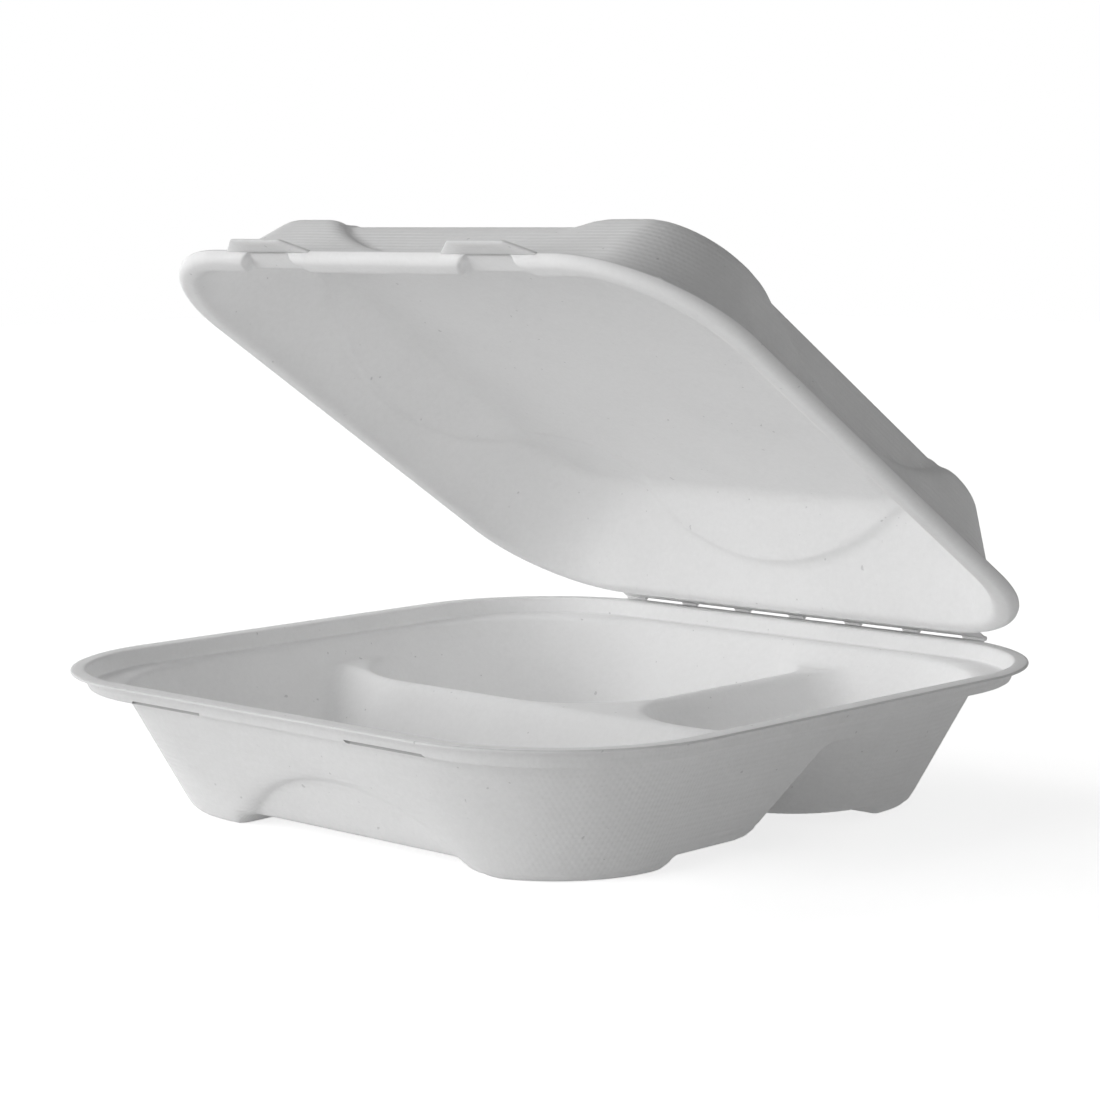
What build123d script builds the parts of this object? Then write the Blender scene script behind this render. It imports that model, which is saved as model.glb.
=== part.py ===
from build123d import *
import math
import os

os.makedirs("parts", exist_ok=True)

# A clamshell food container of moulded sugarcane pulp: a tray with three compartments and a
# domed lid, pressed as one thin sheet and parted here only along the perforated fold that the
# lid swings on. The origin is on the table under the middle of the container, X runs along the
# fold, Y from the front to the fold, and the lid stands open as far as it was set.

# Sheet
wall = 0.9                      # thickness of the pulp sheet
round_steps = 2                 # straight runs that make up a round between a wall and a flat
corner_steps = 8                # and a quarter round in plan
corner_keep = 0.4               # least part of a plan radius that is left at the foot of a wall

# Tray
rim_side = 229.0                # square outline of the tray's lip
rim_corner = 55.0
tray_height = 41.5              # table to the top of the lip
collar_inset = 6.0              # lip's edge to the inner face of the collar under the lip
collar_draft = 15.0
collar_corner = 45.0
ledge_drop = 4.9                # lip to the ledge inside the collar
tub_inset = 10.9                # lip's edge to the inside of the tub, at the ledge
tub_corner = 55.7
tub_draft = 28.5                # lean of the tub's walls from upright, degrees
floor_round = 6.0               # inside radius between the walls and the floor
foot_drop = 3.5                 # the corner feet stand this far under the rest of the floor
foot_edge = 43.0                # from the middle out to a foot
front_middle = 8.5              # the front's raised floor and arch run this far right of the middle
front_edge = 36.5               # from there out to a front foot

# Dividers
crest_drop = 12.0               # lip to the top of the dividers
crest_width = 4.0               # flat top of a divider
main_crest = 5.0                # the divider across the tub runs this far in front of the middle
main_turn = 64.0                # from the middle out to where it bends back round the bowls
main_back = 13.5                # and how far it has run back where it meets the outer wall
cross_crest = 21.0              # the divider at the back runs this far right of the middle
bend_corner = 20.0              # plan radius of the bend
end_corner = 6.0                # plan radius where the bent divider meets the outer wall
bowl_corner = 30.0              # plan radius of the rear bowls where they face the middle
outer_corner = 42.0             # plan radius of the rear bowls at the front of their outer wall
hinge_corner = 14.0             # plan radius of the rear bowls where the back divider meets the wall

# Lid
lid_width = 212.0               # along the fold
lid_length = 211.0              # from the fold's side to the front
lid_corner = 40.0
bead_drop = 3.0                 # the rim rolls down this far towards the tray
bead_round = 2.9                # outside radius of the rolled rim
dome_inset = 7.0                # lip's edge to the inside of the dome, at the foot of the roll
dome_corner = 35.0
dome_height = 27.0              # lip to the outside of the top
dome_side_draft = 25.0
dome_end_draft = 31.5
dome_top_corner = 24.0
dome_round = 7.0                # inside radius between the walls and the top
pad_rise = 1.2                  # the corner pads stand this far over the rest of the top
pad_edge = 47.0                 # from the middle out to a pad
open_angle = 33.0               # how far the lid stands open from closed

# Arched recesses, one in the tray's front and one in the middle of each side of the lid
arch_sides = 40                 # flats round an arch's full circle
recess_depth = 2.6              # how far the arched panel is pressed in
recess_flare = 45.0             # slope of the step round it, and of the feet and pads
tray_arch_radius = 57.0
tray_arch_drop = 20.0           # lip to the top of the tray's arch
lid_arch_radius = 72.0
lid_arch_rise = 8.5             # lip to the foot of a lid arch
corner_sweep = 26.0             # plan radius of a foot's or pad's inner corner
foot_blend = 4.0                # a foot's or pad's slope starts this far inside the floor's level

# Fold
fold_offset = 0.5               # fold line behind the tray's lip
fold_radius = 1.1               # round fold bead on the tray's side
fold_sides = 12                 # flats round the bead
fold_gap = 0.3                  # running clearance between the bead and the lid's strip
lip_gap = 0.15                  # closed lid over the tray's lip
strip_length = 146.0
strip_width = 7.6               # fold line to the lid's own lip
slot_count = 6
slot_pitch = 22.6
slot_length = 16.4
lip_flat = 3.0                  # straight plate behind the fold bead, run into the lip

# Lock: two tabs on the lid's front, two slots in the tray's front
lock_offset = 43.5              # middle of a tab and of a slot, from the container's middle
tab_reach = 5.8
tab_root = 35.0
tab_tip = 20.5
notch_outer = 18.0              # break in the roll behind a tab, at the lip's edge
notch_inner = 27.0              # and at the foot of the dome's wall
lock_slot_length = 30.0
lock_slot_height = 0.9
lock_slot_reach = 2.4           # how far the slot cuts into the ledge from the collar's foot


def tangent(angle):
    """Level shift of a leaning wall for each unit of height."""
    return math.tan(math.radians(angle))


def level(angle, skin):
    """A skin on a leaning wall, measured level."""
    return skin / math.cos(math.radians(angle))


def seat(angle):
    """How far a wall's foot steps out when its floor and face both move out by one unit."""
    return math.tan(math.radians((90 - angle) / 2))


def round_angles(first):
    """The angles from a wall's face to the flat at which a round is divided into runs."""
    return [first + (90 - first) * step / round_steps for step in range(round_steps + 1)]


def round_rise(run, radius, angle):
    """How far along its run a wall's round has come, at an angle of the round."""
    return run - radius * (1 - math.sin(math.radians(angle)))


def round_inset(run, radius, draft, angle):
    """How far the round stands in from the wall's mouth, at an angle of the round."""
    return run * tangent(draft) + radius * (seat(draft) - math.cos(math.radians(angle)))


# Where each half sits. Both are drawn mouth down at the origin with Z out of the cavity: the
# tray's Y then points to the front once it is turned over, and the lid's Y to the fold. The fold
# bead stands behind the lip, so the container's middle lies half that far behind the rim's.
centre_shift = (fold_offset + fold_radius) / 2
fold_y = rim_side / 2 + fold_offset - centre_shift
fold_z = tray_height + lip_gap + wall / 2
lid_reach = strip_width + lid_length / 2
tray_place = Location((0, -centre_shift, tray_height), (180, 0, 0))
lid_place = Location((0, fold_y, fold_z), (-open_angle, 0, 0)) * Location((0, -lid_reach, -wall / 2))


def move_in(points, inset):
    """An outline with every side moved in: each corner goes along its two sides' inward normals."""
    moved = []
    for index, (x, y) in enumerate(points):
        following = points[(index + 1) % len(points)]
        normals = []
        for (x0, y0), (x1, y1) in ((points[index - 1], (x, y)), ((x, y), following)):
            length = math.dist((x0, y0), (x1, y1))
            normals.append(((y0 - y1) / length, (x1 - x0) / length))
        (a, b), (c, d) = normals
        scale = inset / (1 + a * c + b * d)
        moved.append((x + (a + c) * scale, y + (b + d) * scale))
    return moved


def turned(points, radii):
    """An outline with its corners rounded, each round made of short straight runs."""
    outline = []
    for index, ((x, y), radius) in enumerate(zip(points, radii)):
        before = points[index - 1]
        after = points[(index + 1) % len(points)]
        heading = math.atan2(y - before[1], x - before[0])
        leaving = math.atan2(after[1] - y, after[0] - x)
        turn = (leaving - heading + math.pi) % (2 * math.pi) - math.pi
        side = math.copysign(radius, turn)
        reach = radius * math.tan(abs(turn) / 2)
        centre_x = x - reach * math.cos(heading) - side * math.sin(heading)
        centre_y = y - reach * math.sin(heading) + side * math.cos(heading)
        count = round(corner_steps * abs(turn) / (math.pi / 2)) if radius else 0
        for step in range(count + 1):
            way = heading + turn * step / max(count, 1)
            outline.append((centre_x + side * math.sin(way), centre_y - side * math.cos(way)))
    return outline


def section(height, points, radii):
    """A flat face at a height over the mouth, inside a rounded outline."""
    with BuildSketch(Plane.XY.offset(height)) as face:
        with BuildLine():
            Polyline(*turned(points, radii), close=True)
        make_face()
    return face.sketch


def oblong(width, length):
    """The corners of a rectangle round the middle."""
    return [(x * width / 2, y * length / 2) for x, y in ((-1, -1), (1, -1), (1, 1), (-1, 1))]


def slab(height, side, corner, run, taper=0.0):
    """A rounded square slab that starts at a height over the mouth and runs out of the cavity."""
    inset = run * tangent(taper)
    foot = section(height + run, oblong(side - 2 * inset, side - 2 * inset), [corner - inset] * 4)
    loft([section(height, oblong(side, side), [corner] * 4), foot], ruled=True)


def rounded_slab(start, run, size, corners, radius, drafts, mode=Mode.ADD):
    """A slab whose sides lean in and end in a round, from one plan radius to another.

    The run is negative where it goes towards the mouth. Size, corners and drafts are pairs: the
    first two along X and Y, the corners at the start and at the end of the run.
    """
    reach = abs(run)
    rows = [(0, 0, 0)]
    for angle in round_angles(max(drafts)):
        insets = [round_inset(reach, radius, draft, angle) for draft in drafts]
        rows.append((round_rise(reach, radius, angle), *insets))
    sections = []
    for rise, inset_x, inset_y in rows:
        corner = corners[0] + (corners[1] - corners[0]) * inset_x / rows[-1][1]
        outline = oblong(size[0] - 2 * inset_x, size[1] - 2 * inset_y)
        sections.append(section(start + math.copysign(rise, run), outline, [corner] * 4))
    loft(sections, ruled=True, mode=mode)


def compartment(corners, height, floor, skin):
    """One compartment as a filled form, from the dividers' crest down to a floor.

    Each corner gives its X and Y at the crest and its plan radius, negative where the outline
    bends inwards.
    """
    run = floor - height
    radius = floor_round + skin
    shift = skin * seat(tub_draft)
    rows = [(0, 0)]
    for angle in round_angles(tub_draft):
        rows.append((round_rise(run, radius, angle), round_inset(run, radius, tub_draft, angle)))
    sections = []
    for rise, inset in rows:
        points = move_in([(x, y) for x, y, _ in corners], inset - shift)
        lefts = [bend + shift - inset for _, _, bend in corners]
        radii = [max(left, bend * corner_keep) if bend > 0 else -left for left, (_, _, bend) in zip(lefts, corners)]
        sections.append(section(height + rise, points, radii))
    with BuildPart() as hollow:
        loft(sections, ruled=True)
    return hollow.part


def corner_columns(edges, top, rise, reach, skin):
    """The four blocks that hold the feet or pads, narrowing out of the cavity.

    The edges are the X and Y, signed, of each block's inner corner on the level it rises from.
    """
    step = (wall - skin) * seat(recess_flare)
    start = top + skin - foot_blend
    run = foot_blend + rise
    with BuildPart() as columns:
        for x, y in edges:
            across = math.copysign(1, x)
            along = math.copysign(1, y)
            inner_x = x + across * (step - foot_blend * tangent(recess_flare))
            inner_y = y + along * (step - foot_blend * tangent(recess_flare))
            outer_x = across * reach
            outer_y = along * reach
            points = [(inner_x, inner_y), (outer_x, inner_y), (outer_x, outer_y), (inner_x, outer_y)]
            radii = [corner_sweep, 0, 0, 0]
            if across * along < 0:
                points = points[:1] + points[:0:-1]
            inset = run * tangent(recess_flare)
            narrow = section(start + run, move_in(points, inset), [corner_sweep - inset, 0, 0, 0])
            loft([section(start, points, radii), narrow], ruled=True)
    return columns.part


def with_feet(floor_form, foot_form, columns):
    """A filled form down to its floor, joined to the deeper one inside the columns."""
    with BuildPart() as feet:
        add(foot_form)
        add(columns, mode=Mode.INTERSECT)
    with BuildPart() as form:
        add(floor_form)
        add(feet.part)
    return form.part


def arch_recess(span, draft, turn, middle, radius, foot, skin):
    """What one arched panel takes from a filled form, in the wall at a turn about Z.

    The span is the distance across the walls at the mouth, middle is how far the arch runs
    right of its wall's middle, and foot is the height where it starts.
    """
    short = wall - skin
    lean = math.radians(draft)
    way = math.radians(turn)
    centre_height = foot + radius * math.cos(lean)
    out = span / 2 - centre_height * math.tan(lean) - (recess_depth + short) / math.cos(lean)
    along = (-math.sin(way), math.cos(way))
    centre = [out * math.cos(way) - middle * along[0], out * math.sin(way) - middle * along[1]]
    facing = (math.cos(lean) * math.cos(way), math.cos(lean) * math.sin(way), math.sin(lean))
    with BuildPart() as cutter:
        with BuildSketch(Plane(origin=(*centre, centre_height), x_dir=(*along, 0), z_dir=facing)):
            RegularPolygon(radius + short * seat(recess_flare), arch_sides)
        extrude(amount=2 * (recess_depth + short), taper=-recess_flare)
    return cutter.part


def tray_form(skin):
    """The tray as a filled form: its cavity with no skin, and its outside with the sheet's."""
    collar = rim_side - 2 * collar_inset + 2 * level(collar_draft, skin)
    mouth = rim_side / 2 - tub_inset
    lean = (crest_drop - ledge_drop) * tangent(tub_draft)
    crest = mouth - lean
    corner = tub_corner - lean
    front = main_crest + crest_width / 2
    back = main_crest - crest_width / 2
    left = cross_crest - crest_width / 2
    right = cross_crest + crest_width / 2
    compartments = (
        (
            (-crest, front - main_back, end_corner),
            (-main_turn, front, -bend_corner),
            (main_turn, front, -bend_corner),
            (crest, front - main_back, end_corner),
            (crest, crest, corner),
            (-crest, crest, corner),
        ),
        (
            (-crest, -crest, corner),
            (left, -crest, hinge_corner),
            (left, back, bowl_corner),
            (-crest, back, outer_corner),
        ),
        (
            (right, -crest, hinge_corner),
            (crest, -crest, corner),
            (crest, back, outer_corner),
            (right, back, bowl_corner),
        ),
    )
    height = crest_drop + skin
    foot = tray_height - wall + skin
    edges = (
        (front_middle - front_edge, foot_edge),
        (front_middle + front_edge, foot_edge),
        (-foot_edge, -foot_edge),
        (foot_edge, -foot_edge),
    )
    columns = corner_columns(edges, tray_height - wall - foot_drop, 2 * foot_drop, rim_side, skin)
    span = 2 * (mouth + ledge_drop * tangent(tub_draft) + level(tub_draft, skin))
    arch = arch_recess(span, tub_draft, 90, front_middle, tray_arch_radius, tray_arch_drop, skin)
    with BuildPart() as form:
        slab(0, collar, collar_corner + level(collar_draft, skin), ledge_drop + skin, collar_draft)
        grown = mouth + level(tub_draft, skin)
        slab(ledge_drop, 2 * grown, tub_corner + grown - mouth, height - ledge_drop, tub_draft)
        for corners in compartments:
            shallow = compartment(corners, height, foot - foot_drop, skin)
            add(with_feet(shallow, compartment(corners, height, foot, skin), columns))
        add(arch, mode=Mode.SUBTRACT)
    return form.part


def lid_form(skin):
    """The lid's dome as a filled form, from the foot of the roll to the top of its pads."""
    width = lid_width - 2 * dome_inset + 2 * level(dome_side_draft, skin)
    length = lid_length - 2 * dome_inset + 2 * level(dome_end_draft, skin)
    drafts = (dome_side_draft, dome_end_draft)
    corners = (dome_corner + skin, dome_top_corner + skin)
    top = dome_height - wall + skin
    domes = []
    for rise in (0, pad_rise):
        with BuildPart() as dome:
            run = bead_drop + top + rise
            rounded_slab(-bead_drop, run, (width, length), corners, dome_round + skin, drafts)
        domes.append(dome.part)
    edges = [(x * pad_edge, y * pad_edge) for x, y in ((-1, -1), (1, -1), (-1, 1), (1, 1))]
    columns = corner_columns(edges, dome_height - wall, 2 * pad_rise, lid_width, skin)
    sides = (
        (width - 2 * bead_drop * tangent(dome_side_draft), dome_side_draft, 0),
        (length - 2 * bead_drop * tangent(dome_end_draft), dome_end_draft, 90),
    )
    with BuildPart() as form:
        add(with_feet(domes[0], domes[1], columns))
        for span, draft, turn in sides:
            for half_turn in (0, 180):
                arch = arch_recess(span, draft, turn + half_turn, 0, lid_arch_radius, lid_arch_rise, skin)
                add(arch, mode=Mode.SUBTRACT)
    return form.part


def pocket_pair(skin, cover):
    """The two breaks in the lid's roll, behind the tabs, as filled forms."""
    edge = -lid_length / 2
    foot = edge + dome_inset
    end = foot + (bead_drop + wall) * tangent(dome_end_draft)
    outer = notch_outer / 2 + skin
    inner = notch_inner / 2 + skin
    with BuildPart() as pockets:
        for middle in (-lock_offset, lock_offset):
            with BuildSketch(Plane.XY.offset(-bead_drop)):
                with BuildLine():
                    Polyline(
                        (middle - outer, edge + skin - wall),
                        (middle + outer, edge + skin - wall),
                        (middle + inner, foot),
                        (middle + inner, end),
                        (middle - inner, end),
                        (middle - inner, foot),
                        close=True,
                    )
                make_face()
        extrude(amount=bead_drop + cover)
    return pockets.part


# The tray: lip, collar, ledge and tub, the lock's two slots and the fold bead at the bridges
with BuildPart() as tray_shell:
    slab(0, rim_side, rim_corner, wall)
    with BuildSketch():
        with Locations((0, -rim_side / 2 + lip_flat / 2)):
            Rectangle(strip_length, lip_flat)
    extrude(amount=wall)
    add(tray_form(wall))
    add(tray_form(0), mode=Mode.SUBTRACT)
    collar_foot = collar_inset - level(collar_draft, wall) + (ledge_drop + wall) * tangent(collar_draft)
    with BuildSketch(Plane.XY.offset(ledge_drop + wall - lock_slot_height)):
        with Locations(*[(side * lock_offset, rim_side / 2 - collar_foot) for side in (-1, 1)]):
            Rectangle(lock_slot_length, 2 * lock_slot_reach)
    extrude(amount=2 * lock_slot_height, mode=Mode.SUBTRACT)

slots = [(index - (slot_count - 1) / 2) * slot_pitch for index in range(slot_count)]
bridge_edges = [-strip_length / 2]
for middle in slots:
    bridge_edges += [middle - slot_length / 2, middle + slot_length / 2]
bridge_edges.append(strip_length / 2)

with BuildPart() as tray:
    add(tray_shell.part.moved(tray_place))
    for start, end in zip(bridge_edges[0::2], bridge_edges[1::2]):
        with BuildSketch(Plane.YZ.offset(start)):
            with Locations((fold_y, fold_z)):
                RegularPolygon(fold_radius, fold_sides)
        extrude(amount=end - start)
tray.part.label = "tray"
export_step(tray.part, "parts/tray.step")

# The lid: rolled rim, dome, the tabs with the break in the roll behind each, and the strip
with BuildPart() as lid_shell:
    for skin, mode in ((0, Mode.ADD), (wall, Mode.SUBTRACT)):
        size = (lid_width - 2 * skin, lid_length - 2 * skin)
        corners = (lid_corner - skin, lid_corner - bead_round)
        rounded_slab(wall, skin - bead_drop - wall, size, corners, bead_round - skin, (0, 0), mode)
    add(lid_form(wall))
    lid_front = -lid_length / 2
    lid_back = lid_length / 2
    strip_end = lid_reach - fold_radius - fold_gap
    with BuildSketch():
        with Locations((0, (lid_back - wall + strip_end) / 2)):
            Rectangle(strip_length, strip_end - lid_back + wall)
        for middle in (-lock_offset, lock_offset):
            with BuildLine():
                Polyline(
                    (middle - tab_root / 2, lid_front + wall),
                    (middle - tab_root / 2, lid_front),
                    (middle - tab_tip / 2, lid_front - tab_reach),
                    (middle + tab_tip / 2, lid_front - tab_reach),
                    (middle + tab_root / 2, lid_front),
                    (middle + tab_root / 2, lid_front + wall),
                    close=True,
                )
            make_face()
    extrude(amount=wall)
    add(pocket_pair(wall, wall))
    add(lid_form(0), mode=Mode.SUBTRACT)
    add(pocket_pair(0, 0), mode=Mode.SUBTRACT)

with BuildPart() as lid:
    add(lid_shell.part.moved(lid_place))
lid.part.label = "lid"
export_step(lid.part, "parts/lid.step")
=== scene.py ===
import math
import bpy
import numpy as np
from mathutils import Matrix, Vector


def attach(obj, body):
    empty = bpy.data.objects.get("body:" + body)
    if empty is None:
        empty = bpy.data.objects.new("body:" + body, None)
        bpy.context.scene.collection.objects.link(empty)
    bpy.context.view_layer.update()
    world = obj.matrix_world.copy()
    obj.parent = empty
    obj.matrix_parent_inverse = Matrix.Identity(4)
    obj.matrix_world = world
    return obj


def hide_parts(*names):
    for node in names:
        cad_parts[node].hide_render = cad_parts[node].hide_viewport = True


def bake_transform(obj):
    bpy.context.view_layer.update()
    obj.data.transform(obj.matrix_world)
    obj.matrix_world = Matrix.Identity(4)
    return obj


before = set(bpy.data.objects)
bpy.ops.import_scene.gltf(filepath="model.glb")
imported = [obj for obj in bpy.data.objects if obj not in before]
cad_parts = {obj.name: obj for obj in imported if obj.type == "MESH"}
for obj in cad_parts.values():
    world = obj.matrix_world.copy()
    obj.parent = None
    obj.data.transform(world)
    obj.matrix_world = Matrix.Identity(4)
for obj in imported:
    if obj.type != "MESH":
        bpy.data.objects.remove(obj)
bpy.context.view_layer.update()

# The tray: the lower half of the container, one sheet of sugarcane pulp sucked onto a wire screen
# and pressed between heated dies. Its inside is smooth from the die, its outside keeps the marks
# of the screen. The lip, the collar with the two lock slots, the tub and its dividers are one piece.
mm = 0.001                      # the sizes are in millimetres, and angles in degrees
sheet = 0.9
rim_middle = -0.8               # the rim's middle stands this far in front of the origin
tray_height = 41.5
tray_half = 114.5
collar_lean = 15.0
ledge_drop = 4.9
tub_half = 103.6
tub_corner = 55.7
tub_lean = 28.5
tub_slope = 1 / math.tan(math.radians(tub_lean))
crest_drop = 12.0
crest_half = tub_half - (crest_drop - ledge_drop) / tub_slope
crest_round = 3.2
floor_drop = 37.1
foot_drop = 3.5
floor_round = 5.0
front_line = 7.0
back_line = 3.0
bend_x = 60.0
bend_end = 13.5
end_round = 6.0
left_line = 19.0
right_line = 23.0
foot_edges = ((-38.5, -1, 43.4, -1), (45.4, 1, 43.4, -1), (-43.4, -1, 43.4, 1), (43.4, 1, 43.4, 1))
foot_sweep = 26.0
arch_middle = 8.5
arch_radius = 57.0
arch_drop = 20.0
arch_depth = 2.6
lock_middle = 43.5
lock_half = 15.0
lip_round = 1.3
collar_round = 0.6
ledge_round = 3.0
rim_corner = 55.0               # corner radii in plan: at the rim, at the collar's top and foot, and
collar_corner = 45.0            # of the innermost rings
ledge_corner = 43.7
centre_corner = 2.0
crossing_corner = 30.0          # and of the rear bowls: where the dividers cross, at the tray's side,
side_corner = 42.0              # and where the divider meets the rear wall
rear_corner = 14.0
corner_growth = 0.9             # the front bowl's rear corners widen by this a millimetre of inset
corner_growth_end = 16.0
crest_seat = 3.0                # the fillet where the tub's wall runs onto the dividers' crest
crest_fade_start = 10.0         # the crest's rounding sets in below this depth, over this band
crest_fade_band = 4.0
bend_ease = 2.0                 # bands over which two forms ease into each other
arch_ease = 2.2
foot_ease = 1.5
screen_marks = 0.5              # how strongly the screen's wires show
# Painted light: the smooth inside gets a lighter pulp than the screen side, standing in for the light
# bounced about inside the container.
die_side_painted_light = (0.95, 0.95, 0.95)
screen_side = (0.77, 0.77, 0.77)
slot_painted_shade = (0.44, 0.44, 0.44)   # painted shade: a dark tint on the lock slots' walls, for the shade inside the slits


def rounded_path(points, radii, steps=5):
    """A bent line in a plane with its corners rounded: at each inner point an arc of the given
    radius, tangent to both sides, in the given number of points."""
    path = [points[0]]
    for before, corner, after, radius in zip(points[:-2], points[1:-1], points[2:], radii):
        a = np.subtract(before, corner)
        b = np.subtract(after, corner)
        a = a / np.hypot(*a)
        b = b / np.hypot(*b)
        half = math.acos(float(np.clip(a @ b, -1, 1))) / 2
        middle = (a + b) / np.hypot(*(a + b))
        centre = corner + middle * radius / math.sin(half)
        first = corner + a * radius / math.tan(half) - centre
        last = corner + b * radius / math.tan(half) - centre
        turn = math.atan2(first[0] * last[1] - first[1] * last[0], first @ last)
        for t in np.linspace(0, 1, steps):
            c, s = math.cos(turn * t), math.sin(turn * t)
            path.append(tuple(centre + (first[0] * c - first[1] * s, first[0] * s + first[1] * c)))
    path.append(points[-1])
    return np.array(path)


def ring_grid(half_x, half_y, corner):
    """A square grid laid on nested rounded rectangles: ring k has the given half sizes and corner
    radius, and its points are spread evenly along it from each diagonal to the next. Gives x, y and
    the ring number of every grid point."""
    rings = len(half_x) - 1
    u, v = np.meshgrid(np.arange(2 * rings + 1) - rings, np.arange(2 * rings + 1) - rings, indexing="ij")
    m = np.maximum(np.abs(u), np.abs(v))
    k = rings - m
    on_x = np.abs(u) == m
    t = np.abs(np.where(on_x, v, u)) / np.maximum(m, 1)
    a = np.where(on_x, half_x[k], half_y[k])
    b = np.where(on_x, half_y[k], half_x[k])
    r = np.minimum(corner[k], np.minimum(a, b)) + 1e-6
    along = t * (b - r + r * math.pi / 4)
    angle = np.maximum(along - (b - r), 0) / r
    across = a - r + r * np.cos(angle)
    side = np.where(along < b - r, along, b - r + r * np.sin(angle))
    x = np.where(on_x, across, side) * np.sign(u)
    y = np.where(on_x, side, across) * np.sign(v)
    return x, y, k


def round_and(a, b, r):
    """The distance inside two walls at once, with the corner between them rounded to radius r."""
    return np.where((a < r) & (b < r), r - np.hypot(r - a, r - b), np.minimum(a, b))


def soft_min(a, b, k):
    """The smaller of two, eased over the band where they are within k of each other."""
    h = np.maximum(k - np.abs(a - b), 0) / k
    return np.minimum(a, b) - h * h * k / 4


def filleted(wall, flat, slope, radius):
    """The smaller of a sloping wall and a flat, with a true arc of the given radius between them."""
    lean = np.arctan(1 / slope)
    seat = radius * np.tan((math.pi / 2 - lean) / 2)
    x = (wall - flat) / slope
    arc = flat - radius + np.sqrt(np.maximum(radius**2 - (seat - x) ** 2, 0))
    return np.where(x >= seat, flat, np.where(x <= -seat * np.sin(lean), wall, arc))


def arch_face(inset, s, start, lean, foot, radius, depth):
    """How deep a cavity may go where an arched panel is pressed into its wall, at an inset from the
    wall's top edge and s along it from the panel's middle. The wall runs down as start + inset /
    tan(lean). The panel is parallel to it, depth inwards, inside a circle of the given radius whose
    top lies at foot, and a 45 degree cone joins the two: this solves where an upright line meets
    that cone."""
    S, C = math.sin(math.radians(lean)), math.cos(math.radians(lean))
    panel_n = start * S - depth
    panel = (panel_n + inset * C) / S
    top_inset = (foot * S - panel_n) / C
    centre_t = top_inset * S + foot * C + radius
    q = radius - panel_n - inset * C
    p = inset * S - centre_t
    a = S * S - C * C
    b = 2 * (S * q - C * p)
    c = q * q - p * p - s * s
    inside = b * b - 4 * a * c
    cone = np.where(inside > 0, (-b + np.sqrt(np.maximum(inside, 0))) / (2 * a), 1e3)
    return np.maximum(panel, cone)


def tray_depth(x, y):
    """Depth of the tray's inside under the lip: the tub's leaning walls, the three compartments cut
    from the dividers' crest, the arch in the front, the raised floor and the deeper feet."""
    ax, ay = np.abs(x), np.abs(y)
    tub = ledge_drop + tub_slope * round_and(tub_half - ax, tub_half - ay, tub_corner)
    bend = np.array([crest_half - bend_x, bend_end])
    bend = bend / np.hypot(*bend)
    straight = -front_line - y
    slant = bend[1] * (ax - bend_x) - bend[0] * (y + front_line)
    corner = tub_corner - (crest_drop - ledge_drop) / tub_slope
    back_edge = -soft_min(-straight, -slant, bend_ease)
    growth = np.clip(round_and(back_edge, crest_half - ax, end_round), 0, corner_growth_end)
    front = round_and(back_edge, crest_half - ax, end_round + corner_growth * growth)
    front = np.minimum(front, round_and(crest_half - ax, crest_half + y, corner))
    cells = [front]
    for inner, outer in ((left_line - x, x + crest_half), (x - right_line, crest_half - x)):
        back = y + back_line
        hinge = crest_half - y
        cell = np.minimum(round_and(inner, back, crossing_corner), round_and(back, outer, side_corner))
        rear = np.minimum(round_and(inner, hinge, rear_corner), round_and(outer, hinge, corner))
        cells.append(np.minimum(cell, rear))
    cell = crest_drop + tub_slope * np.maximum(np.maximum(cells[0], cells[1]), cells[2])
    crest = filleted(tub, crest_drop, tub_slope, crest_seat)
    soft = crest_round * np.clip((tub - crest_fade_start) / crest_fade_band, 0, 1) + 1e-6
    depth = -filleted(-cell, -crest, tub_slope, soft)
    arch = arch_face(
        tub_half + y, x - arch_middle, ledge_drop, tub_lean, arch_drop, arch_radius, arch_depth)
    depth = soft_min(depth, arch, arch_ease)
    feet = np.zeros_like(x)
    for edge_x, way_x, edge_y, way_y in foot_edges:
        inside = round_and((x - edge_x) * way_x, y * way_y - edge_y, foot_sweep)
        feet = np.maximum(feet, -soft_min(-inside, 0 * x, foot_ease))
    floor = floor_drop + soft_min(feet, foot_drop + 0 * x, foot_ease)
    return filleted(depth, floor, tub_slope, floor_round)


def grid_normals(points):
    """Unit normals of a grid of points: the cross product of its two directions' differences."""
    across = np.gradient(points, axis=0)
    along = np.gradient(points, axis=1)
    normal = np.cross(across, along)
    return normal / np.maximum(np.linalg.norm(normal, axis=2, keepdims=True), 1e-12)


def boundary(grid):
    """The outer ring of a grid of points or of their numbers, once round."""
    return np.concatenate([grid[:-1, 0], grid[-1, :-1], grid[:0:-1, -1], grid[0, :0:-1]])


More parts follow.
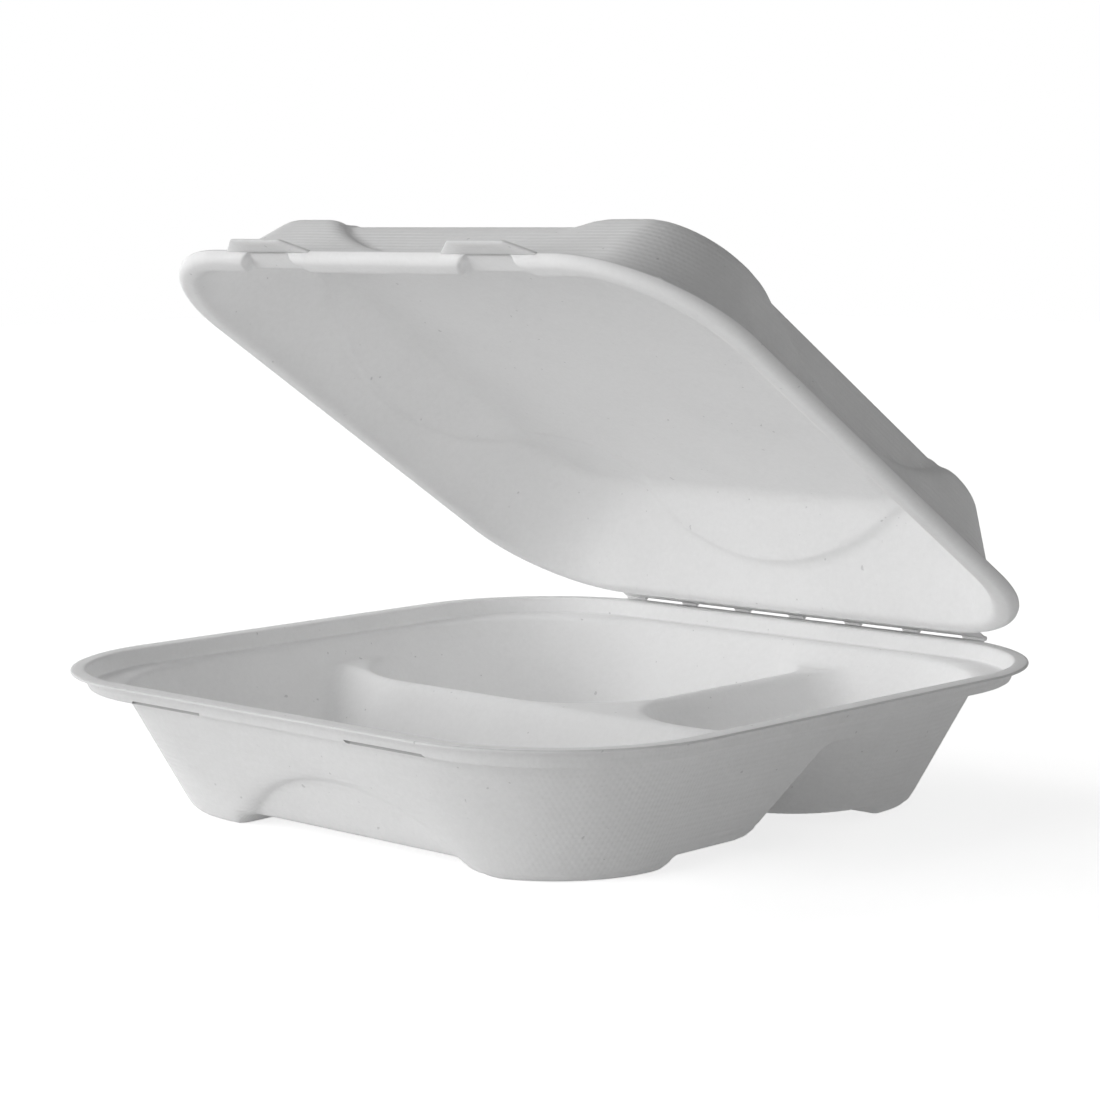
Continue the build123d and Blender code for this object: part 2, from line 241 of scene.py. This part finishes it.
def sheet_mesh(face, back, edge_rows, holes=()):
    """A closed sheet from two grids of points a thickness apart: both skins as quads, the rows that
    round the outer edge from one to the other, and a wall round each hole cut through both. Returns
    points, quads and each quad's finish: 0 on the first skin, 2 on the holes' walls, 1 elsewhere."""
    n = face.shape[0]
    index = np.arange(n * n).reshape(n, n)
    keep = np.ones((n - 1, n - 1), bool)
    for i0, i1, j0, j1 in holes:
        keep[i0:i1, j0:j1] = False
    a, b, c, d = index[:-1, :-1], index[1:, :-1], index[1:, 1:], index[:-1, 1:]
    skin = np.stack([a, b, c, d], -1)[keep]
    other = skin[:, ::-1] + n * n
    ring = boundary(index)
    count = len(ring)
    rows = [ring]
    rows += [2 * n * n + count * row + np.arange(count) for row in range(len(edge_rows))]
    rows += [ring + n * n]
    edges = []
    for low, high in zip(rows[:-1], rows[1:]):
        edges.append(np.stack([low, high, np.roll(high, -1), np.roll(low, -1)], -1))
    walls = []
    for i0, i1, j0, j1 in holes:
        loop = boundary(index[i0:i1 + 1, j0:j1 + 1])
        ahead = np.roll(loop, -1)
        walls.append(np.stack([loop, ahead, ahead + n * n, loop + n * n], -1))
    points = np.concatenate([grid.reshape(-1, 3) for grid in [face, back] + edge_rows])
    quads = np.concatenate([skin, other] + edges + walls)
    cut = sum(len(wall) for wall in walls)
    finish_of = np.repeat([0, 1, 2], [len(skin), len(quads) - len(skin) - cut, cut])
    return points, quads, finish_of


def make_piece(name, points, quads, finish_of, finishes):
    """Puts arrays of points and quads into an object at the origin. It is smooth-shaded, but for the
    walls of the holes, which are flat and have sharp edges."""
    finish_of = np.asarray(finish_of, dtype=np.int32)
    mesh = bpy.data.meshes.new(name)
    mesh.vertices.add(len(points))
    mesh.vertices.foreach_set("co", (points * mm).astype(np.float32).ravel())
    mesh.loops.add(quads.size)
    mesh.loops.foreach_set("vertex_index", quads.astype(np.int32).ravel())
    mesh.polygons.add(len(quads))
    mesh.polygons.foreach_set("loop_start", np.arange(0, quads.size, 4, dtype=np.int32))
    mesh.polygons.foreach_set("material_index", finish_of)
    mesh.polygons.foreach_set("use_smooth", finish_of < 2)
    mesh.update(calc_edges=True)
    loop_edges = np.zeros(quads.size, dtype=np.int32)
    mesh.loops.foreach_get("edge_index", loop_edges)
    sharp = np.zeros(len(mesh.edges), bool)
    sharp[loop_edges.reshape(-1, 4)[finish_of == 2]] = True
    mesh.edges.foreach_set("use_edge_sharp", sharp)
    mesh.validate()
    for finish in finishes:
        mesh.materials.append(finish)
    piece = bpy.data.objects.new(name, mesh)
    bpy.context.scene.collection.objects.link(piece)
    return piece


def edge_round(face, back, steps=3):
    """Rows that round a sheet's edge: half a circle from the first skin's ring out to the second's."""
    first, last = boundary(face), boundary(back)
    middle = (first + last) / 2
    arm = first - middle
    ahead = np.roll(middle, -1, axis=0) - np.roll(middle, 1, axis=0)
    out = np.cross(ahead, arm)
    length = np.maximum(np.linalg.norm(out, axis=1, keepdims=True), 1e-12)
    out *= np.linalg.norm(arm, axis=1, keepdims=True) / length
    angles = np.linspace(0, math.pi, steps + 2)[1:-1]
    return [middle + arm * math.cos(t) + out * math.sin(t) for t in angles]


def pulp(name, tint, screen, turn=0.0):
    """Sugarcane pulp: matt off-white with faint clouds, short fibres and a few dark specks, and on
    the outside the crossed waves that the forming screen's wires leave, about 1.2 mm apart. Screen
    is how strong the waves are, turn how far the pattern leans with the open lid."""
    look = bpy.data.materials.new(name)
    look.use_nodes = True
    nodes, links = look.node_tree.nodes, look.node_tree.links
    shader = nodes["Principled BSDF"]
    shader.inputs["Specular IOR Level"].default_value = 0.25
    shader.inputs["Subsurface Weight"].default_value = 0.6
    shader.inputs["Subsurface Radius"].default_value = (1.0, 1.0, 1.0)
    shader.inputs["Subsurface Scale"].default_value = 0.0018
    place = nodes.new("ShaderNodeTexCoord")
    level = nodes.new("ShaderNodeMapping")
    level.inputs["Rotation"].default_value = (turn, 0, 0)
    links.new(place.outputs["Object"], level.inputs["Vector"])

    def noise(scale, detail, rough=0.55):
        """Noise on the piece's own coordinates."""
        texture = nodes.new("ShaderNodeTexNoise")
        texture.inputs["Scale"].default_value = scale
        texture.inputs["Detail"].default_value = detail
        texture.inputs["Roughness"].default_value = rough
        links.new(level.outputs["Vector"], texture.inputs["Vector"])
        return texture.outputs["Fac"]

    def ramp(value, low, high, dark, light):
        """A straight line from dark at low to light at high, held at both ends."""
        shade = nodes.new("ShaderNodeMapRange")
        shade.inputs["From Min"].default_value = low
        shade.inputs["From Max"].default_value = high
        shade.inputs["To Min"].default_value = dark
        shade.inputs["To Max"].default_value = light
        links.new(value, shade.inputs["Value"])
        return shade.outputs["Result"]

    def combine(kind, a, b):
        """The sum or product of a socket and another socket or a number."""
        step = nodes.new("ShaderNodeMath")
        step.operation = kind
        links.new(a, step.inputs[0])
        if isinstance(b, float):
            step.inputs[1].default_value = b
        else:
            links.new(b, step.inputs[1])
        return step.outputs["Value"]

    clouds = ramp(noise(28, 3), 0.3, 0.7, 0.965, 1.01)
    fibres = ramp(noise(620, 5, 0.7), 0.3, 0.75, 1.015, 0.965)
    specks = ramp(noise(430, 1), 0.765, 0.80, 1.0, 0.80)
    tone = combine("MULTIPLY", combine("MULTIPLY", clouds, fibres), specks)
    paint = nodes.new("ShaderNodeVectorMath")
    paint.operation = "SCALE"
    paint.inputs[0].default_value = tint
    links.new(tone, paint.inputs["Scale"])
    links.new(paint.outputs["Vector"], shader.inputs["Base Color"])
    links.new(ramp(noise(160, 4), 0.3, 0.7, 0.74, 0.9), shader.inputs["Roughness"])
    relief = combine("MULTIPLY", noise(540, 6, 0.68), 0.55)
    relief = combine("ADD", relief, combine("MULTIPLY", noise(70, 3), 1.2))
    if screen:
        for direction, pitch, weight in (("X", 262.0, 0.7), ("Y", 262.0, 0.7), ("Z", 205.0, 1.6)):
            wires = nodes.new("ShaderNodeTexWave")
            wires.bands_direction = direction
            wires.inputs["Scale"].default_value = pitch
            wires.inputs["Distortion"].default_value = 2.2
            wires.inputs["Detail"].default_value = 2.0
            wires.inputs["Detail Scale"].default_value = 0.25
            links.new(level.outputs["Vector"], wires.inputs["Vector"])
            relief = combine("ADD", relief, combine("MULTIPLY", wires.outputs["Fac"], screen * weight))
    bump = nodes.new("ShaderNodeBump")
    bump.inputs["Strength"].default_value = 1.0
    bump.inputs["Distance"].default_value = 0.00007
    links.new(relief, bump.inputs["Height"])
    links.new(bump.outputs["Normal"], shader.inputs["Normal"])
    return look


# The smooth finish carries the painted light of the lighter inside tint.
smooth_painted_light_tray = pulp("pulp_smooth_painted_light_tray", die_side_painted_light, 0.0)
screen_tray = pulp("pulp_screen_tray", screen_side, screen_marks)
# Painted shade: this darker pulp colours the walls of the lock slots and stands in for the shade inside
# them.
slot_shade_tray = pulp("pulp_slot_painted_shade_tray", slot_painted_shade, 0.0)

tan_collar = math.tan(math.radians(collar_lean))
collar_top = 6.0
collar_foot = collar_top + ledge_drop * tan_collar
tub_top = tray_half - tub_half
wall_foot = 26.0
bent = rounded_path(
    [(sheet / 2, 0), (collar_top, 0), (collar_foot, ledge_drop), (tub_top, ledge_drop),
     (wall_foot, ledge_drop + (wall_foot - tub_top) * tub_slope)],
    (lip_round, collar_round, ledge_round),
)
# Each rounded corner of the profile is five points: 1 to 5, 6 to 10 and 11 to 15.
lip_rows = np.linspace(bent[0], bent[1], 6)[:-1]
ledge_rows = np.linspace(bent[10], bent[11], 4)[1:-1]
wall_rows = np.linspace(bent[15], bent[16], 14)[1:]
profile = np.concatenate([lip_rows, bent[1:11], ledge_rows, bent[11:16], wall_rows])
collar_row = len(lip_rows) + 5
rings = 108
inner_rows = np.linspace(profile[-1, 0], tray_half, rings + 2 - len(profile))[1:]
insets = np.concatenate([profile[:, 0], inner_rows])
half = tray_half - insets
corner = np.interp(
    insets, [0, collar_top, collar_foot, tub_top], [rim_corner, collar_corner, ledge_corner, tub_corner])
corner = np.where(insets > tub_top, np.maximum(tub_corner - (insets - tub_top), centre_corner), corner)
x, y, k = ring_grid(half, half, np.minimum(corner, np.maximum(half, 0)))
depths = np.concatenate([profile[:, 1], np.zeros(len(inner_rows))])
depth = np.where(k < len(profile) - len(wall_rows), depths[k], tray_depth(x, y))
inside = np.stack([x, y + rim_middle, tray_height - depth], -1)
outside = inside - grid_normals(inside) * sheet

# The lock slots are cut through the rounded foot of the collar.
lock_slots = []
for middle in (-lock_middle, lock_middle):
    across = np.flatnonzero(np.abs(x[:, collar_row] - middle) < lock_half)
    lock_slots.append((across[0], across[-1], collar_row, collar_row + 4))
points, quads, finish_of = sheet_mesh(inside, outside, edge_round(inside, outside), lock_slots)
# The walls of the slots take the third finish, the painted shade.
tray_sheet = make_piece("tray_sheet", points, quads, finish_of, (smooth_painted_light_tray, screen_tray, slot_shade_tray))
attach(tray_sheet, "tray")
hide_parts("tray")

# The lid: the upper half, moulded with the tray from the same sheet. Its rim is rolled towards the
# tray, and is broken behind each lock tab. The dome has an arched panel pressed into each side and
# four low pads on its top for stacking.
open_angle = math.radians(33.0)
fold_y = 114.2
fold_z = 42.1
lid_reach = 113.1
lid_half_x = 106.0
lid_half_y = 105.5
lid_corner = 40.0
bead_drop = 2.6
dome_inset = 7.0
dome_top = 26.1
pad_rise = 0.95
pad_edge = 47.4
side_lean = 25.0
end_lean = 31.5
lid_arch_radius = 72.0
lid_arch_foot = 8.5
lid_arch_ease = 2.2
dome_corner = 60.0              # the dome's corner radius, and how it grows with the height
dome_corner_growth = 0.25
dome_growth_end = 30.0
draft_band = 60.0               # the band in which the sides' draft changes to the ends'
dome_round = 7.2
dome_foot_round = 2.8
pad_ease = 0.8
roll_round = 2.5
roll_foot_round = 1.3
roll_end = 4.8                  # the roll ends this far in from the edge
tight_end = 20.0                # the rings stand closer together up to this inset
loose_start = 50.0              # and have a small corner radius from this one on
roll_corner = 34.0              # corner radii in plan where the roll, the close rings and the others end
tight_corner = 27.0
loose_corner = 3.0
path_run = 6.0                  # how the profile runs on after the roll, up the dome
path_lean = 28.0
pocket_outer = 9.0              # half the break in the roll behind a tab, at the edge and inside
pocket_inner = 13.5
pocket_ease = 1.2
pocket_line = -80.0             # and only in front of this line


def lid_height(x, y):
    """Height of the dome's inside over the lip: leaning walls of two drafts that meet in rounded
    corners, an arched panel in each, the top, and the pads a little over it."""
    ax, ay = np.abs(x), np.abs(y)
    in_x = lid_half_x - dome_inset - ax
    in_y = lid_half_y - dome_inset - ay
    a = in_x / math.tan(math.radians(side_lean))
    b = in_y / math.tan(math.radians(end_lean))
    rise = round_and(a, b, dome_corner)
    rise = round_and(a, b, dome_corner + dome_corner_growth * np.clip(rise, 0, dome_growth_end))
    wall = rise - bead_drop
    blend = np.clip(0.5 + (a - b) / draft_band, 0, 1)
    slope = 1 / np.tan(np.radians(side_lean + (end_lean - side_lean) * blend))
    for inset, along, lean in (
        (in_x - bead_drop * math.tan(math.radians(side_lean)), y, side_lean),
        (in_y - bead_drop * math.tan(math.radians(end_lean)), x, end_lean),
    ):
        arch = arch_face(inset, along, 0.0, lean, lid_arch_foot, lid_arch_radius, arch_depth)
        wall = soft_min(wall, arch, lid_arch_ease)
    pads = round_and(ax - pad_edge, ay - pad_edge, foot_sweep)
    top = dome_top + soft_min(-soft_min(-pads, 0 * x, pad_ease), pad_rise + 0 * x, pad_ease)
    dome = filleted(wall, top, slope, dome_round)
    return -filleted(-dome, bead_drop + 0 * x, slope, dome_foot_round)


def lid_place(local):
    """Points drawn with the mouth down, Y towards the fold and Z out of the cavity, turned about the
    fold to the open lid: along times the cosine and up times the sine of its angle, and crosswise."""
    c, s = math.cos(open_angle), math.sin(open_angle)
    along = local[..., 1] - lid_reach
    up = local[..., 2] - sheet / 2
    return np.stack([local[..., 0], fold_y + along * c + up * s, fold_z - along * s + up * c], -1)


bent = rounded_path(
    [(0, sheet / 2), (0, -bead_drop), (dome_inset, -bead_drop),
     (dome_inset + path_run, -bead_drop + path_run / math.tan(math.radians(path_lean)))],
    (roll_round, roll_foot_round),
    steps=9,
)
bead_rows = np.concatenate([bent[:10], np.linspace(bent[9], (roll_end, -bead_drop), 3)[1:]])
rings = 106
tight_rows = np.linspace(roll_end, tight_end, 25)[1:]
inner_rows = np.linspace(tight_end, lid_half_y, rings + 2 - len(bead_rows) - len(tight_rows))[1:]
insets = np.concatenate([bead_rows[:, 0], tight_rows, inner_rows])
fall = np.concatenate([bead_rows[:, 1], np.zeros(len(tight_rows) + len(inner_rows))])
narrow = lid_half_x - lid_half_y
half_y = lid_half_y - insets
half_x = lid_half_x - insets - narrow * np.clip(insets / lid_half_y, 0, 1)
corner = np.interp(
    insets, [0, dome_inset, tight_end, loose_start], [lid_corner, roll_corner, tight_corner, loose_corner])
x, y, k = ring_grid(half_x, half_y, np.minimum(corner, np.maximum(half_y, 0)))
height = np.where(k < len(bead_rows), fall[k], lid_height(x, y))

# Behind each tab the roll is pressed flat.
pocket = pocket_outer + (pocket_inner - pocket_outer) * np.clip(insets[k] / dome_inset, 0, 1)
open_part = np.clip((pocket - np.abs(np.abs(x) - lock_middle)) / pocket_ease + 0.5, 0, 1)
open_part = open_part * (y < pocket_line)
open_part = open_part * open_part * (3 - 2 * open_part)
height = height + open_part * (np.maximum(height, 0) - height)
shape = np.stack([x, y, height], -1)
away = grid_normals(shape)
inside = lid_place(shape)
outside = lid_place(shape + away * sheet)
points, quads, finish_of = sheet_mesh(inside, outside, edge_round(outside, inside)[::-1])
quads = quads[:, ::-1]
# The lid's smooth inside carries the same painted light.
smooth_painted_light_lid = pulp("pulp_smooth_painted_light_lid", die_side_painted_light, 0.0)
screen_lid = pulp("pulp_screen_lid", screen_side, screen_marks, open_angle)
lid_sheet = make_piece("lid_sheet", points, quads, finish_of, (smooth_painted_light_lid, screen_lid))
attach(lid_sheet, "lid")
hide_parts("lid")

# Lock tabs: two flat tongues of the same sheet that stand out from the lid's front lip. Shut, they
# are pushed through the slots in the tray's collar.
tab_reach = 5.8
tab_root = 17.5
tab_tip = 10.25
tab_corner = 1.8
tab_overlap = 0.6


def plate(outline, low, high, inset=0.25):
    """A flat plate with softened edges: an outline's rings at the lower skin, the middle and the
    upper skin, the skins drawn in by the inset, each filled with a fan of quads."""
    outline = np.array(outline, float)
    count = len(outline)
    ahead = np.roll(outline, -1, axis=0) - np.roll(outline, 1, axis=0)
    ahead /= np.hypot(ahead[:, 0], ahead[:, 1])[:, None]
    inward = np.stack([-ahead[:, 1], ahead[:, 0]], -1)
    drawn = outline + inward * inset
    middle = outline.mean(axis=0)
    shrunk = drawn * 0.5 + middle * 0.5
    levels = [(shrunk, low), (drawn, low), (outline, low + inset),
              (outline, high - inset), (drawn, high), (shrunk, high)]
    points = np.concatenate([np.column_stack([ring, np.full(count, z)]) for ring, z in levels])
    points = np.concatenate([points, [[*middle, low], [*middle, high]]])
    base = np.arange(count)
    ahead = np.roll(base, -1)
    side = np.stack([base, ahead, ahead + count, base + count], -1)
    quads = [side + row * count for row in range(len(levels) - 1)]
    pairs = np.arange(0, count, 2)
    first, second, third = pairs, (pairs + 1) % count, (pairs + 2) % count
    low_pole = np.full(len(pairs), len(levels) * count)
    top = (len(levels) - 1) * count
    quads.append(np.stack([third, second, first, low_pole], -1))
    quads.append(np.stack([first + top, second + top, third + top, low_pole + 1], -1))
    return points, np.concatenate(quads)


def dense(corners, step=1.0):
    """An outline's corners with points added along its sides, an even number in all."""
    corners = np.array(corners, float)
    runs = []
    for a, b in zip(corners, np.roll(corners, -1, axis=0)):
        count = 2 * max(1, round(float(np.hypot(*(b - a))) / step / 2))
        runs.append(a + (b - a) * np.linspace(0, 1, count, endpoint=False)[:, None])
    return np.concatenate(runs)


def rounded_outline(corners, radii):
    """A closed outline with its corners rounded, points added along the sides."""
    corners = [np.array(c, float) for c in corners]
    start = (corners[0] + corners[-1]) / 2
    return dense(rounded_path([start] + corners + [start], radii)[:-1])


def joined(meshes):
    """Several meshes' points and quads as one."""
    points, quads, base = [], [], 0
    for p, q in meshes:
        points.append(p)
        quads.append(q + base)
        base += len(p)
    return np.concatenate(points), np.concatenate(quads)


tabs = []
for middle in (-lock_middle, lock_middle):
    edge = -lid_half_y
    outline = rounded_outline(
        [(middle - tab_root, edge + tab_overlap), (middle - tab_root, edge),
         (middle - tab_tip, edge - tab_reach), (middle + tab_tip, edge - tab_reach),
         (middle + tab_root, edge), (middle + tab_root, edge + tab_overlap)],
        (0.2, 0.4, tab_corner, tab_corner, 0.4, 0.2),
    )
    tabs.append(plate(outline, 0.0, sheet))
points, quads = joined(tabs)
lock_tabs = make_piece("lock_tabs", lid_place(points), quads, np.zeros(len(quads)), (screen_lid,))
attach(lock_tabs, "lid")
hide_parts("lid")

# The fold: a flat strip on the lid's back edge, cut through in six long slots so that the seven
# bridges between them bend easily. The tray's lip runs on behind it as a straight plate.
strip_half = 73.0
strip_start = lid_half_y - 0.6
strip_end = lid_reach - 0.95
strip_corner = 0.4
lip_start = fold_y - 3.5
lip_end = fold_y - 0.5


def strip(start, end, low, high):
    """A plate as long as the fold, from one Y to another, with small corners."""
    corners = [(-strip_half, start), (strip_half, start), (strip_half, end), (-strip_half, end)]
    return plate(rounded_outline(corners, (strip_corner,) * 4), low, high)


points, quads = strip(strip_start, strip_end, 0.0, sheet)
fold_strip = make_piece("fold_strip", lid_place(points), quads, np.zeros(len(quads)), (smooth_painted_light_lid,))
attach(fold_strip, "lid")
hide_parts("lid")

points, quads = strip(lip_start, lip_end, tray_height - sheet, tray_height)
fold_lip = make_piece("fold_lip", points, quads, np.zeros(len(quads)), (smooth_painted_light_tray,))
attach(fold_lip, "tray")
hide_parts("tray")

# The bridges: what is left of the sheet between the slots, creased round the fold line. They are drawn as
# they stand at the lid's open angle and are not attached to the tray or the lid.
slot_count = 6
slot_pitch = 22.6
slot_half = 8.2
fold_round = 0.8
bead_mouth = 26.0               # half the angle left open in the bead, where the tongue sets on
tongue_root = 1.1
tongue_tip = 2.2
tongue_half = 0.35


def bridge(start, end):
    """One bridge: a cross-section swept along the fold line, a round bead with a tongue towards the
    lid's strip, drawn in a little at its ends."""
    c, s = math.cos(open_angle), math.sin(open_angle)
    around = np.linspace(math.radians(bead_mouth), math.radians(360 - bead_mouth), 24)
    bead = np.stack([fold_round * np.cos(around), fold_round * np.sin(around)], -1)
    low = np.column_stack([np.linspace(tongue_root, tongue_tip, 3), np.full(3, -tongue_half)])
    high = np.column_stack([np.linspace(tongue_tip, tongue_root, 3), np.full(3, tongue_half)])
    loop = np.concatenate([bead, low, high])
    stations = np.array([0.0, 0.25, 0.7])
    xs = np.concatenate([start + stations, end - stations[::-1]])
    drawn_in = np.array([0.86, 0.97, 1.0, 1.0, 0.97, 0.86])
    local = loop[None, :, :] * drawn_in[:, None, None]
    v, h = local[..., 0], local[..., 1]
    rows, count = v.shape
    across = np.broadcast_to(xs[:, None], v.shape)
    points = np.stack([across, fold_y - v * c + h * s, fold_z + v * s + h * c], -1)
    index = np.arange(rows * count).reshape(rows, count)
    ahead = np.roll(index, -1, axis=1)
    quads = np.stack([index[:-1], index[1:], ahead[1:], ahead[:-1]], -1).reshape(-1, 4)
    ends = []
    for row, flip in ((0, False), (rows - 1, True)):
        pole = rows * count + len(ends)
        ring = index[row]
        first, second, third = ring[0::2], np.roll(ring, -1)[0::2], np.roll(ring, -2)[0::2]
        cap = np.stack([first, second, third, np.full(len(first), pole)], -1)
        ends.append(cap[:, ::-1] if flip else cap)
    centres = points.mean(axis=1)[[0, rows - 1]]
    return np.concatenate([points.reshape(-1, 3), centres]), np.concatenate([quads] + ends)


edges = [-strip_half]
for index in range(slot_count):
    middle = (index - (slot_count - 1) / 2) * slot_pitch
    edges += [middle - slot_half, middle + slot_half]
edges.append(strip_half)
points, quads = joined([bridge(a, b) for a, b in zip(edges[0::2], edges[1::2])])
bridges = make_piece("fold_bridges", points, quads, np.zeros(len(quads)), (smooth_painted_light_tray,))
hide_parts("tray")
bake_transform(bridges)

# Camera: the view the photograph was taken from, in front and to the right, a little over the rim,
# fitted to the rim, the feet and the lid's corners.
camera = bpy.data.objects.new("camera", bpy.data.cameras.new("camera"))
bpy.context.scene.collection.objects.link(camera)
camera.data.sensor_width = 36.0
camera.data.lens = 92.7
camera.data.clip_end = 20.0
camera.location = (0.564, -0.5926, 0.1723)
camera.rotation_euler = (math.radians(90 - 6.86), math.radians(0.34), math.radians(43.58))
bpy.context.scene.camera = camera

# Studio: a dim even surround that the camera and reflections see as white, and two large soft
# lamps, one low in front of the container and one higher at its left.
world = bpy.data.worlds.new("studio")
world.use_nodes = True
bpy.context.scene.world = world
nodes, links = world.node_tree.nodes, world.node_tree.links
nodes["Background"].inputs["Color"].default_value = (1, 1, 1, 1)
path = nodes.new("ShaderNodeLightPath")
seen = nodes.new("ShaderNodeMapRange")
seen.inputs["To Min"].default_value = 0.18
seen.inputs["To Max"].default_value = 1.0
direct = nodes.new("ShaderNodeMath")
direct.operation = "MAXIMUM"
links.new(path.outputs["Is Camera Ray"], direct.inputs[0])
links.new(path.outputs["Is Glossy Ray"], direct.inputs[1])
links.new(direct.outputs["Value"], seen.inputs["Value"])
links.new(seen.outputs["Result"], nodes["Background"].inputs["Strength"])
bpy.context.scene.view_settings.view_transform = "Standard"
lamp_spread = 50.0
for name, place, power in (("front", (-0.6, -1.88, 0.3), 1.85), ("left", (-1.8, -0.3, 0.9), 1.15)):
    light = bpy.data.objects.new(name, bpy.data.lights.new(name, "SUN"))
    bpy.context.scene.collection.objects.link(light)
    light.data.angle = math.radians(lamp_spread)
    light.data.energy = power
    light.location = place
    light.rotation_euler = (-Vector(place)).to_track_quat("-Z", "Y").to_euler()

# Floor: white paper. It glows a little, and more for the camera, so that it goes to white and only
# the container's shadow stays.
floor_mesh = bpy.data.meshes.new("floor")
floor_mesh.from_pydata([(-3, -3, 0), (3, -3, 0), (3, 3, 0), (-3, 3, 0)], [], [(0, 1, 2, 3)])
floor = bpy.data.objects.new("floor", floor_mesh)
bpy.context.scene.collection.objects.link(floor)
paper = bpy.data.materials.new("floor_paper")
paper.use_nodes = True
nodes, links = paper.node_tree.nodes, paper.node_tree.links
nodes["Principled BSDF"].inputs["Base Color"].default_value = (0.9, 0.9, 0.9, 1)
nodes["Principled BSDF"].inputs["Roughness"].default_value = 0.9
nodes["Principled BSDF"].inputs["Emission Color"].default_value = (1, 1, 1, 1)
path = nodes.new("ShaderNodeLightPath")
glow = nodes.new("ShaderNodeMapRange")
glow.inputs["To Min"].default_value = 0.12
glow.inputs["To Max"].default_value = 0.67
links.new(path.outputs["Is Camera Ray"], glow.inputs["Value"])
links.new(glow.outputs["Result"], nodes["Principled BSDF"].inputs["Emission Strength"])
floor_mesh.materials.append(paper)
